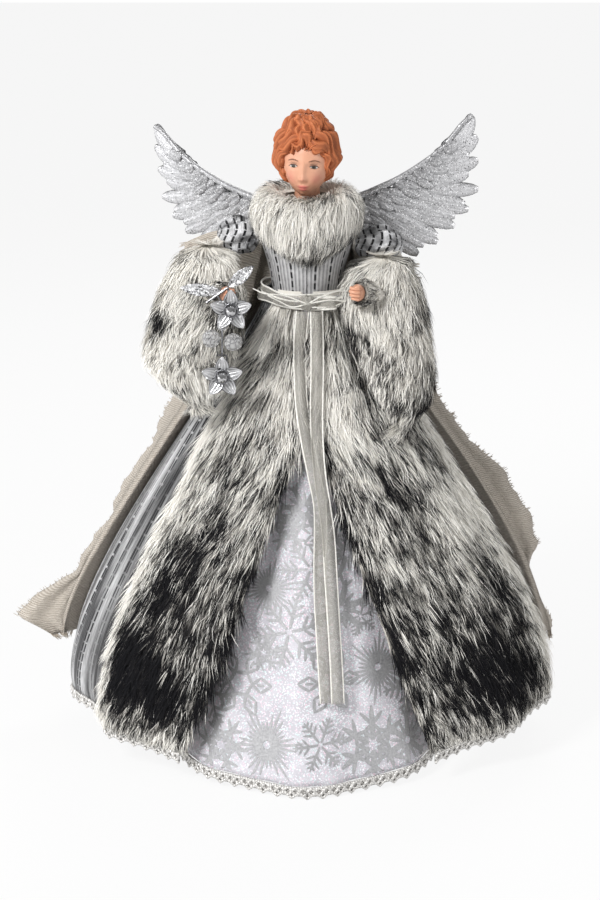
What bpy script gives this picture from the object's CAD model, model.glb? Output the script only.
"""Angel tree topper: the visual model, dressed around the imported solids.

Everything is set out in millimetres, in the solids' own frame, and scaled to metres when a mesh is made.
The doll faces -Y. "left" and "right" are the viewer's: left is -X, and its side is -1.
"""

import math

import bpy
import numpy as np
from mathutils import Matrix, Vector, kdtree


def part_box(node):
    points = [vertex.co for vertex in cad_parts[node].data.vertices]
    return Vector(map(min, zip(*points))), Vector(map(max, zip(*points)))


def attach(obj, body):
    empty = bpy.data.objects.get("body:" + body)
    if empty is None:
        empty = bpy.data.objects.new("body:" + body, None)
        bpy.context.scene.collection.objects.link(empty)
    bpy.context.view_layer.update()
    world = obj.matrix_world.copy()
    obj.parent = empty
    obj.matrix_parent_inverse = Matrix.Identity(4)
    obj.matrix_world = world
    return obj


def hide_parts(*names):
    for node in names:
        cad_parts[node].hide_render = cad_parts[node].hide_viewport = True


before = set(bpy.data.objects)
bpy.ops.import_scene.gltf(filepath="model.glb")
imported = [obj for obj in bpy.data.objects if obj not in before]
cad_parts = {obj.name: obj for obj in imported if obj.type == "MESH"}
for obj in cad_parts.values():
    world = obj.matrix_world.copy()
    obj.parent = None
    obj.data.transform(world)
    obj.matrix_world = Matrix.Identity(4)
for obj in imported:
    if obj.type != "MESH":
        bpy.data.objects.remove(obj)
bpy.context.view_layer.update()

MM = 0.001
PI = math.pi
FIGURE, LEFT_ARM, RIGHT_ARM, LOWER_FLOWER = "figure", "left_arm", "right_arm", "lower_flower"
ARMS = ((-1, "left", LEFT_ARM), (1, "right", RIGHT_ARM))

# Sizes that the solids have too, in millimetres
GAP = 0.3
TORSO_BOTTOM = 215.3
TORSO_TOP = 338
CHEST_HALF_WIDTH = 26
CHEST_HALF_DEPTH = 18
WAIST = 290
BODICE_CLOTH = 1.2
SKIRT_CLOTH = 1
COAT_CLOTH = 1.2
SEAM_ANGLES = {-1: math.radians(55), 1: math.radians(78)}
INNER_HEM_FRONT = 8
COAT_HEM_FRONT = 16
COAT_OPENING_TOP = 208
COAT_GAP_TOP = 8
COAT_GAP_HEM = 148
FUR_THICKNESS = 10
FUR_WAIST_THICKNESS = 3
COAT_REACH = 150  # half width of the coat's hem, and so millimetres of cloth for each radian round it
RIBBON = 8
SHOULDER_TILT = math.radians(4)
WIRE_HEIGHT = TORSO_TOP - 20
WIRE_BACK = 6

# The camera, at the photograph's angle
CAMERA_ELEVATION = math.radians(15)
CAMERA_DISTANCE = 1500
CAMERA_TARGET = (-4.39, 0, 185.55)
CAMERA_LENS = 95.675


def lerp(a, b, t):
    return a + (b - a) * t


def eased(x, low=0.0, high=1.0):
    t = np.clip((np.asarray(x, float) - low) / (high - low), 0, 1)
    return t * t * (3 - 2 * t)


def peak(x, middle, width):
    return np.exp(-(((np.asarray(x, float) - middle) / width) ** 2))


def unit(v):
    return v / np.maximum(np.linalg.norm(v, axis=-1, keepdims=True), 1e-9)


def columns(*parts):
    return np.stack(np.broadcast_arrays(*parts), -1).astype(float)


def looked_up(x, table):
    """The table's further columns where its first one reaches x."""
    return [np.interp(x, table[:, 0], column) for column in table.T[1:]]


def steps(count, low=0.0, high=1.0):
    return np.linspace(low, high, count + 1)


def turns(count):
    """Angles once round, without the last."""
    return 2 * PI * np.arange(count) / count


def crossed(down, along):
    """Two grids of values: one changes from row to row, the other within each row."""
    return np.meshgrid(down, along, indexing="ij")


def wobble(points, size, seed=0):
    """Smooth noise from -1 to 1, with features of about the given size in millimetres."""
    q = np.asarray(points, float) / size + 17.31 * seed
    cell = np.floor(q)
    t = q - cell
    t = t * t * (3 - 2 * t)
    total = np.zeros(q.shape[:-1])
    for corner in np.ndindex(*(2,) * q.shape[-1]):
        hashed = np.sin((cell + corner) @ np.array([127.1, 311.7, 74.7])) * 43758.5453
        total += np.prod(np.where(corner, t, 1 - t), axis=-1) * (hashed - np.floor(hashed))
    return 2 * total - 1


# Meshes


def grid_faces(rows, across, closed=False, start=0, flip=False):
    """Quads of a grid of points with rows + 1 rows; closed joins the last column to the first."""
    width = across if closed else across + 1
    row, col = crossed(np.arange(rows), np.arange(across))
    here, beside = row * width + col, row * width + (col + 1) % width
    quads = np.stack([here, beside, beside + width, here + width], -1).reshape(-1, 4) + start
    return quads[:, ::-1] if flip else quads


def listed(faces):
    return faces if isinstance(faces, list) else [faces]


def make_mesh(name, points, faces, uv=None, layer="Cloth"):
    points = np.asarray(points, float).reshape(-1, 3)
    faces = [np.asarray(f, np.int32) for f in listed(faces) if len(f)]
    corners = np.concatenate([f.ravel() for f in faces])
    counts = np.concatenate([np.full(len(f), f.shape[1]) for f in faces])
    mesh = bpy.data.meshes.new(name)
    mesh.vertices.add(len(points))
    mesh.vertices.foreach_set("co", (points * MM).astype(np.float32).ravel())
    mesh.loops.add(len(corners))
    mesh.loops.foreach_set("vertex_index", corners)
    mesh.polygons.add(len(counts))
    mesh.polygons.foreach_set("loop_start", np.concatenate([[0], np.cumsum(counts)[:-1]]).astype(np.int32))
    mesh.polygons.foreach_set("use_smooth", np.ones(len(counts), bool))
    mesh.update(calc_edges=True)
    if uv is not None:
        uv = np.asarray(uv, np.float32).reshape(-1, 2)
        mesh.uv_layers.new(name=layer).uv.foreach_set("vector", uv[corners].ravel())
    mesh.validate()
    return mesh


def place(name, mesh, body, slot, material, node=None):
    """Puts a mesh into the scene, on a body and in a slot; it replaces the solid of the node."""
    thing = bpy.data.objects.new(name, mesh)
    bpy.context.scene.collection.objects.link(thing)
    mesh.materials.append(material)
    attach(thing, body)
    if node:
        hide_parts(node)
    return thing


def build(name, points, faces, uv, *where):
    return place(name, make_mesh(name, points, faces, uv), *where)


def thicken(thing, thickness, offset=-1):
    solidify = thing.modifiers.new("Thickness", "SOLIDIFY")
    solidify.thickness = thickness * MM
    solidify.offset = offset
    return thing


def colour_points(mesh, colours):
    paint = mesh.color_attributes.new("Paint", "FLOAT_COLOR", "POINT")
    paint.data.foreach_set("color", columns(*np.asarray(colours).T, 1.0).astype(np.float32).ravel())


class Parts:
    """Many small meshes gathered into one."""

    def __init__(self):
        self.points, self.faces, self.uv, self.count = [], [], [], 0

    def add(self, points, faces, uv=None):
        points = np.asarray(points, float).reshape(-1, 3)
        self.faces += [np.asarray(f, int) + self.count for f in listed(faces)]
        self.uv.append(np.zeros((len(points), 2)) if uv is None else np.asarray(uv, float).reshape(-1, 2))
        self.points.append(points)
        self.count += len(points)

    def all_points(self):
        return np.concatenate(self.points)

    def move(self, to):
        for points in self.points:
            points[:] = to(points)

    def mesh(self, name, layer="Cloth"):
        return make_mesh(name, self.all_points(), self.faces, np.concatenate(self.uv), layer)

    def place(self, name, *where):
        return place(name, self.mesh(name), *where)


def sweep(path, radius, sides=8, closed=False, squash=1.0, up=(0, 0, 1)):
    """A tube along a path; radius may change along it. Gives points, faces and uv, round by along."""
    path = np.asarray(path, float)
    count = len(path)
    ahead = unit(np.roll(path, -1, 0) - np.roll(path, 1, 0) if closed else np.gradient(path, axis=0))
    side = np.zeros_like(path)
    first = np.cross(ahead[0], up)
    side[0] = unit(first if np.linalg.norm(first) >= 0.2 else np.cross(ahead[0], (1, 0, 0)))
    for i in range(1, count):
        side[i] = unit(side[i - 1] - ahead[i] * (side[i - 1] @ ahead[i]))
    over = np.cross(side, ahead)
    turn = turns(sides)
    size = np.broadcast_to(np.asarray(radius, float), (count,))[:, None, None]
    ring = side[:, None] * np.cos(turn)[:, None] + over[:, None] * np.sin(turn)[:, None] * squash
    points = (path[:, None] + ring * size).reshape(-1, 3)
    uv = columns(np.tile(turn / (2 * PI), count), np.repeat(np.linspace(0, 1, count), sides))
    if closed:
        return points, grid_faces(count, sides, True, flip=True) % (count * sides), uv
    low = np.arange(sides)
    high = low + (count - 1) * sides
    caps = [
        np.stack([np.full(sides, count * sides), low, np.roll(low, -1)], -1),
        np.stack([np.full(sides, count * sides + 1), np.roll(high, -1), high], -1),
    ]
    faces = [grid_faces(count - 1, sides, True, flip=True), np.concatenate(caps)]
    return np.concatenate([points, path[[0, -1]]]), faces, np.concatenate([uv, [[0, 0], [0, 1]]])


def curve_through(knots, count):
    """A smooth curve through a few points."""
    knots = np.asarray(knots, float)
    padded = np.concatenate([2 * knots[:1] - knots[1:2], knots, 2 * knots[-1:] - knots[-2:-1]])
    at = np.linspace(0, len(knots) - 1, count)
    i = np.minimum(at.astype(int), len(knots) - 2)
    t = (at - i)[:, None]
    a, b, c, d = (padded[i + k] for k in range(4))
    return 0.5 * (2 * b + (c - a) * t + (2 * a - 5 * b + 4 * c - d) * t**2 + (3 * b - a - 3 * c + d) * t**3)


# Materials


class Value:
    """An output in a node tree; arithmetic with it adds nodes to the tree."""

    def __init__(self, tree, socket):
        self.tree, self.socket = tree, socket

    def __add__(self, other):
        return self.tree.math("ADD", self, other)

    def __sub__(self, other):
        return self.tree.math("SUBTRACT", self, other)

    def __rsub__(self, other):
        return self.tree.math("SUBTRACT", other, self)

    def __mul__(self, other):
        return self.tree.math("MULTIPLY", self, other)

    def __truediv__(self, other):
        return self.tree.math("DIVIDE", self, other)

    def __mod__(self, other):
        return self.tree.math("MODULO", self, other)

    def __lt__(self, other):
        return self.tree.math("LESS_THAN", self, other)

    def __gt__(self, other):
        return self.tree.math("GREATER_THAN", self, other)

    def __abs__(self):
        return self.tree.math("ABSOLUTE", self)

    def fraction(self):
        return self.tree.math("FRACT", self)

    def floor(self):
        return self.tree.math("FLOOR", self)

    def scaled(self, by, plus):
        return self.tree.math("MULTIPLY_ADD", self, by, plus)

    def wave(self, period):
        """Goes from 0 up to 1 and back over each period."""
        return self.tree.math("COSINE", self * (2 * PI / period)).scaled(-0.5, 0.5)


class Tree:
    """A node tree, with short names for the nodes used here."""

    def __init__(self, tree):
        self.tree = tree

    def feed(self, socket, value):
        value = getattr(value, "socket", value)
        if isinstance(value, bpy.types.NodeSocket):
            self.tree.links.new(value, socket)
        elif isinstance(value, tuple) and socket.type == "RGBA":
            socket.default_value = (*value[:3], 1)
        else:
            socket.default_value = value

    def node(self, kind, *values, **settings):
        node = self.tree.nodes.new("ShaderNode" + kind)
        for key, value in settings.items():
            setattr(node, key, value)
        for socket, value in zip(node.inputs, values):
            self.feed(socket, value)
        return node

    def value(self, kind, *values, output=0, **settings):
        return Value(self, self.node(kind, *values, **settings).outputs[output])

    def math(self, operation, *values):
        return self.value("Math", *values, operation=operation)


class Shader(Tree):
    """A material with a Principled shader."""

    def __init__(self, name, **inputs):
        self.material = bpy.data.materials.new(name)
        self.material.use_nodes = True
        super().__init__(self.material.node_tree)
        self.surface = self.tree.nodes["Principled BSDF"]
        for key, value in inputs.items():
            self.set(key.replace("_", " "), value)

    def set(self, key, value):
        self.feed(self.surface.inputs[key], value)

    def colour(self, value):
        self.set("Base Color", value)

    def mix(self, factor, a, b, blend="MIX"):
        node = self.node("Mix", data_type="RGBA", blend_type=blend)
        for index, value in ((0, factor), (6, a), (7, b)):
            self.feed(node.inputs[index], value)
        return Value(self, node.outputs[2])

    def ramp(self, factor, *stops):
        node = self.node("ValToRGB", factor)
        elements = node.color_ramp.elements
        while len(elements) < len(stops):
            elements.new(0.5)
        for element, (position, colour) in zip(elements, stops):
            element.position = position
            element.color = (*colour, 1)
        return Value(self, node.outputs[0])

    def vector(self, x, y):
        return self.value("CombineXYZ", x, y)

    def split(self, socket):
        return [Value(self, output) for output in self.node("SeparateXYZ", socket).outputs]

    def uv(self, layer="Cloth"):
        return self.split(self.value("UVMap", uv_map=layer))[:2]

    def fed(self, kind, settings, **inputs):
        node = self.node(kind, **settings)
        for key, value in inputs.items():
            self.feed(node.inputs[key], value)
        return node

    def noise(self, scale, detail=2.0, rough=0.5, at=None):
        """Noise over the object's own space, or over the vector given."""
        at = at or self.value("TexCoord", output="Object")
        settings = {"noise_dimensions": "3D"}
        node = self.fed("TexNoise", settings, Vector=at, Scale=scale, Detail=detail, Roughness=rough)
        return Value(self, node.outputs[0])

    def cells(self, scale, output, **settings):
        at = self.value("TexCoord", output="Object")
        return Value(self, self.fed("TexVoronoi", settings, Vector=at, Scale=scale).outputs[output])

    def bump(self, height, distance):
        node = self.fed("Bump", {}, Strength=1.0, Distance=distance * MM, Height=height)
        normal = self.surface.inputs["Normal"]
        if normal.is_linked:
            self.feed(node.inputs["Normal"], normal.links[0].from_socket)
        self.feed(normal, node.outputs[0])

    def glitter(self, scale, share, dark_share=0.0):
        """Tiny cells, each tipped its own way: a share of them is bright and another share dark."""
        red, green, blue = self.split(self.cells(scale, "Color"))
        self.bump(green, 0.04)
        return red < share, blue < dark_share


def fur_material():
    """Across the uv map the hair goes from cream to black; a hair's tip is darker than its root."""
    shader = Shader("fake_fur", Roughness=0.75, Specular_IOR_Level=0.12)
    shade, along = shader.uv("OFBake")
    body = shader.ramp(
        shade + (along - 0.5) * (shade * 2.0),
        (0.0, (0.98, 0.965, 0.92)), (0.36, (0.86, 0.835, 0.775)), (0.56, (0.33, 0.315, 0.29)),
        (0.72, (0.05, 0.048, 0.048)), (1.0, (0.01, 0.01, 0.012)),
    )
    depth = shader.ramp(along, (0.0, (0.7, 0.68, 0.65)), (0.4, (0.97, 0.96, 0.95)), (1.0, (1, 1, 1)))
    shader.colour(shader.mix(1.0, body, depth, "MULTIPLY"))
    return shader.material


def glitter_cloth_material():
    shader = Shader("glitter_cloth", Roughness=0.6, Sheen_Weight=0.1)
    base = shader.ramp(shader.noise(60, 3), (0.3, (0.5, 0.485, 0.53)), (0.7, (0.66, 0.645, 0.69)))
    speck, _ = shader.glitter(1500, 0.3)
    tints = (0.38, (0.78, 0.6, 0.68)), (0.5, (0.9, 0.88, 0.93)), (0.62, (0.66, 0.8, 0.8))
    shader.colour(shader.mix(speck, base, shader.ramp(shader.noise(700, 2), *tints)))
    shader.set("Roughness", speck.scaled(-0.3, 0.62))
    return shader.material


def brocade_material():
    """Silver satin with fine ribs, lighter and darker lanes and pairs of dashed black lines; uv in millimetres."""
    shader = Shader("brocade", Roughness=0.42, Metallic=0.1, Sheen_Weight=0.1)
    across, down = shader.uv()
    number = (across / 15).floor()
    lane = (across + shader.math("SINE", down / 40 + number) * 1.5) % 15
    thick = 2.0 - down * 0.0048  # the map is squeezed towards the waist
    line = shader.math("MINIMUM", abs(lane - 4), abs(lane - 7.6)) < thick
    dash = ((down + (number * 0.618).fraction() * 11) / 8.5).fraction()
    rare = shader.noise(1.7, 1, at=shader.vector(number, down / 60))
    black = line * (dash < 0.84) * (rare > 0.3)
    flow = shader.vector(across, down * 0.09)
    lanes = shader.ramp(shader.noise(0.11, 3, at=flow), (0.36, (0.07, 0.07, 0.074)), (0.64, (0.74, 0.74, 0.75)))
    threads = shader.ramp(shader.noise(0.9, 2, at=flow), (0.3, (0.6, 0.6, 0.6)), (0.6, (1, 1, 1)))
    tone = shader.mix(1.0, lanes, threads, "MULTIPLY")
    seams = COAT_REACH * SEAM_ANGLES[1], COAT_REACH * (2 * PI - SEAM_ANGLES[-1])
    near = shader.math("MINIMUM", *(abs(across - seam) for seam in seams))
    inside = shader.ramp(near / 50, (0.1, (0.3, 0.3, 0.3)), (0.75, (1, 1, 1)))
    tone = shader.mix(1.0, tone, inside, "MULTIPLY")
    shader.colour(shader.mix(black, tone, (0.012, 0.012, 0.014)))
    shader.bump(across.wave(2.1) + down.wave(0.8) * 0.4, 0.45)
    return shader.material


def knit_material():
    """Metallic rib knit with rows of dark dashes; uv in millimetres."""
    shader = Shader("ribbed_knit", Roughness=0.48, Metallic=0.15)
    across, down = shader.uv()
    rib = across.wave(2.6)
    shift = ((across / 10.4).floor() * 0.73).fraction() * 9
    black = (abs(across % 10.4 - 5.2) < 0.75) * (((down + shift) / 5.6).fraction() < 0.7)
    loops = shader.noise(420, 3)
    tone = shader.mix(rib, (0.1, 0.1, 0.103), (0.52, 0.515, 0.52))
    tone = shader.mix(loops * 0.45, tone, (0.9, 0.89, 0.9))
    shader.colour(shader.mix(black, tone, (0.015, 0.014, 0.017)))
    shader.bump(rib + loops * 0.8, 0.5)
    return shader.material


def satin_material():
    """Satin puffs with dark stripes that run from the shoulder to the cuff."""
    shader = Shader("striped_satin", Roughness=0.32, Metallic=0.2)
    across, down = shader.uv()
    black = (abs(across % 5.4 - 2.7) < 0.75) * ((down / 5).fraction() < 0.84)
    folds = shader.noise(120, 3)
    tone = shader.ramp(folds, (0.36, (0.16, 0.16, 0.165)), (0.62, (0.88, 0.88, 0.9)))
    shader.colour(shader.mix(black, tone, (0.014, 0.014, 0.016)))
    shader.bump(folds + across.wave(1.1), 0.35)
    return shader.material


def burlap_material():
    """Coarse weave with thick threads across the cape; uv in millimetres."""
    shader = Shader("burlap", Roughness=0.9, Sheen_Weight=0.1)
    across, down = shader.uv()
    slub = shader.noise(0.9, 3, 0.65, at=shader.vector(across * 0.12, down))
    weft = (down + shader.noise(40, 2) * 2.0).wave(1.45)
    weave = weft * 0.6 + across.wave(1.3) * 0.4
    shades = (0.3, (0.33, 0.28, 0.225)), (0.6, (0.58, 0.51, 0.43)), (0.95, (0.8, 0.74, 0.66))
    shader.colour(shader.ramp(weave * 0.6 + slub * 0.8, *shades))
    shader.bump(weave, 0.6)
    return shader.material


def braid_material():
    shader = Shader("silver_braid", Roughness=0.42, Metallic=0.35)
    around, along = shader.uv()
    ply = (along + around * 1.6).wave(1.6)
    tone = shader.mix(ply, (0.4, 0.385, 0.37), (0.9, 0.88, 0.84))
    shader.colour(shader.mix(shader.noise(700, 2) * 0.5, tone, (0.92, 0.91, 0.9)))
    shader.bump(ply, 0.3)
    return shader.material


def silver_material(name, dark, light, rough, metal, scale=2400, share=0.07):
    """Silvered plastic with a fine glitter; up the uv map it gets lighter, from side to side it is grooved."""
    shader = Shader(name, Roughness=rough, Metallic=metal)
    patchy = shader.noise(320, 4, 0.6)
    speck, dull = shader.glitter(scale, share, 0.8 * share)
    across, along = shader.uv()
    lighter = across.wave(0.5).scaled(0.14, along.scaled(0.8, patchy * 0.5))
    lighter = shader.math("POWER", abs(across), 5).scaled(-0.6, lighter)
    tone = shader.ramp(lighter, (0.15, dark), (1.0, light))
    tone = shader.mix(dull, tone, (0.03, 0.03, 0.032))
    shader.colour(shader.mix(speck, tone, (0.97, 0.97, 0.98)))
    shader.bump(patchy, 0.12)
    return shader.material


def painted_material(name, rough, grain, **inputs):
    """Painted resin whose colour is laid on the points of the mesh."""
    shader = Shader(name, Roughness=rough, **inputs)
    paint = shader.value("Attribute", output="Color", attribute_name="Paint")
    mottled = shader.noise(260, 3)
    shader.colour(shader.mix(mottled * grain, paint, (0.95, 0.8, 0.7), "MULTIPLY"))
    shader.bump(mottled, 0.06)
    return shader.material


def plain_material(
    name, dark, light, scale, rough, bump=0.15, detail=4, noise_rough=0.6, low=0.3, high=0.7, **inputs
):
    shader = Shader(name, Roughness=rough, **inputs)
    grain = shader.noise(scale, detail, noise_rough)
    shader.colour(shader.ramp(grain, (low, dark), (high, light)))
    shader.bump(grain, bump)
    return shader.material


def organza_material(name, colour, alpha):
    darker = tuple(0.8 * c for c in colour)
    return plain_material(
        name, darker, colour, 1200, 0.45, 0.05, 1, 0.5, 0.35, 0.65, Alpha=alpha, Sheen_Weight=0.2
    )


def ice_material():
    """Clear acrylic with a crackle inside it."""
    shader = Shader("clear_acrylic", Roughness=0.05, Transmission_Weight=0.7, IOR=1.49)
    edge = shader.cells(380, "Distance", feature="DISTANCE_TO_EDGE")
    shades = (0.0, (0.2, 0.2, 0.21)), (0.08, (0.72, 0.72, 0.73)), (0.35, (0.97, 0.97, 0.97))
    shader.colour(shader.ramp(edge, *shades))
    shader.bump(edge, 0.4)
    return shader.material


FUR = fur_material()
GLITTER_CLOTH = glitter_cloth_material()
SNOW_PRINT = plain_material(
    "snow_print", (0.34, 0.34, 0.35), (0.47, 0.47, 0.48), 900, 0.5, 0.1, 2, 0.5, 0.35, 0.7, Metallic=0.25
)
BROCADE = brocade_material()
KNIT = knit_material()
SATIN = satin_material()
BURLAP = burlap_material()
BRAID = braid_material()
ORGANZA = organza_material("organza", (0.55, 0.53, 0.48), 0.36)
ORGANZA_EDGE = organza_material("organza_edge", (0.95, 0.93, 0.87), 1.0)
WING_SILVER = silver_material("wing_silver", (0.025, 0.025, 0.027), (0.62, 0.62, 0.635), 0.42, 0.35)
FLOWER_SILVER = silver_material("flower_silver", (0.08, 0.08, 0.083), (0.64, 0.64, 0.65), 0.27, 0.5, 900, 0.03)
LEAF_GLITTER = silver_material("leaf_glitter", (0.14, 0.14, 0.15), (0.6, 0.6, 0.61), 0.35, 0.3, 1500, 0.25)
PEARL = plain_material("metallic_pearl", (0.3, 0.3, 0.305), (0.66, 0.66, 0.67), 300, 0.1, 0.02, Metallic=0.95)
SKIN = painted_material("skin_paint", 0.42, 0.25)
GINGER = painted_material("ginger_paint", 0.6, 0.5, Specular_IOR_Level=0.25)
CARD = plain_material("cardboard", (0.5, 0.39, 0.27), (0.62, 0.5, 0.37), 90, 0.9)
WOOD = plain_material("light_wood", (0.55, 0.4, 0.24), (0.72, 0.56, 0.37), 60, 0.7)
STEEL = plain_material("wire_steel", (0.16, 0.16, 0.17), (0.36, 0.36, 0.38), 400, 0.35, 0.03, Metallic=1.0)
CLOTH = plain_material("stuffed_cloth", (0.7, 0.66, 0.6), (0.82, 0.79, 0.74), 700, 0.9)
ICE = ice_material()


# The body's outline, as the solids have it

TORSO_SHARES = np.array([
    [0, 0.72, 0.8], [0.3, 0.78, 0.86], [0.55, 0.74, 0.84], [0.72, 0.86, 0.95],
    [0.84, 1, 1], [0.93, 0.9, 0.84], [1, 0.42, 0.52],
])


def torso_half(height):
    """Half width and half depth of the body at a height."""
    share = (np.asarray(height, float) - TORSO_BOTTOM) / (TORSO_TOP - TORSO_BOTTOM)
    width, depth = looked_up(share, curve_through(TORSO_SHARES, 97))
    return width * CHEST_HALF_WIDTH, depth * CHEST_HALF_DEPTH


WAIST_HALF = [half + GAP + BODICE_CLOTH for half in torso_half(WAIST)]


class Skirt:
    """A skirt that hangs from the waist; angle goes from the front towards +X, drop from 0 to 1.

    hem holds the half width and half depth there, hem_heights the heights at the front, side and back. fold is
    the depth of the folds at the hem, backset how far the hem's middle lies behind, and flare gives the shares
    of the way out and down at a drop.
    """

    def __init__(self, waist_out, hem, hem_heights, fold, folds, backset, flare):
        self.waist = [float(half) + waist_out for half in WAIST_HALF]
        self.hem, self.hem_heights, self.fold, self.folds = hem, hem_heights, fold, folds
        self.backset, self.flare = backset, flare

    def hem_height(self, angle):
        front, side, back = self.hem_heights
        return lerp(np.where(np.cos(angle) > 0, front, back), side, np.sin(angle) ** 2)

    def half(self, out, more):
        return [lerp(waist, hem, out) + more for waist, hem in zip(self.waist, self.hem)]

    def point(self, angle, drop, offset=0.0):
        angle, drop, offset = np.broadcast_arrays(angle, drop, offset)
        out, down = self.flare(drop)
        width, depth = self.half(out, self.fold * drop * np.cos(self.folds * angle))
        normal = unit(columns(np.sin(angle) / width, -np.cos(angle) / depth, 0))
        height = lerp(WAIST, self.hem_height(angle), down)
        ring = columns(width * np.sin(angle), self.backset * out - depth * np.cos(angle), height)
        return ring + normal * offset[..., None]


def coat_flare(drop):
    """A curve that falls steeply from the waist and spreads above the hem."""
    t, s = drop, 1 - drop
    down = 3 * s * s * t * 0.12 + 3 * s * t * t * 0.78 + t**3
    out = 3 * s * s * t * 0.02 + 3 * s * t * t * 1.12 + t**3
    return out, down


INNER = Skirt(
    waist_out=GAP + SKIRT_CLOTH, hem=(97, 115), hem_heights=(INNER_HEM_FRONT, 17, 10),
    fold=2.2, folds=9, backset=0, flare=lambda drop: (drop**1.25, drop),
)
COAT = Skirt(
    waist_out=2 * GAP + SKIRT_CLOTH + COAT_CLOTH, hem=(COAT_REACH, 112), hem_heights=(COAT_HEM_FRONT, 34, 18),
    fold=2.6, folds=14, backset=12, flare=coat_flare,
)
DROPS = steps(400)


def coat_drop_at(down):
    return np.interp(down, coat_flare(DROPS)[1], DROPS)


def coat_front_angle(drop):
    out, down = coat_flare(drop)
    height = lerp(WAIST, COAT_HEM_FRONT, down)
    opened = np.clip((COAT_OPENING_TOP - height) / (COAT_OPENING_TOP - COAT_HEM_FRONT), 0, 1)
    return np.arcsin(lerp(COAT_GAP_TOP, COAT_GAP_HEM, opened) / 2 / lerp(COAT.waist[0], COAT.hem[0], out))


# Fur

FUR_START = 0.2
FUR_SEGMENTS = np.array([0.0, 0.3, 0.66, 1.0])
FUR_TAPER = (0.8, 1.0, 0.75, 0.0)


def mottle(dark):
    """Turns a share of dark hair into hair that is mostly either pale or black."""
    return 1 / (1 + np.exp(-(dark - 0.5) / 0.17))


def streaks(a, b, width, length, seed):
    """Streaks that run along b; width and length are in shares of the surface."""
    fine = wobble(columns(a / width, b / length, 0.5), 1.0, seed)
    broad = wobble(columns(a / (3 * width), b / (2 * length), 0.5), 1.0, seed + 3)
    return 0.6 * fine + 0.6 * broad


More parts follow.
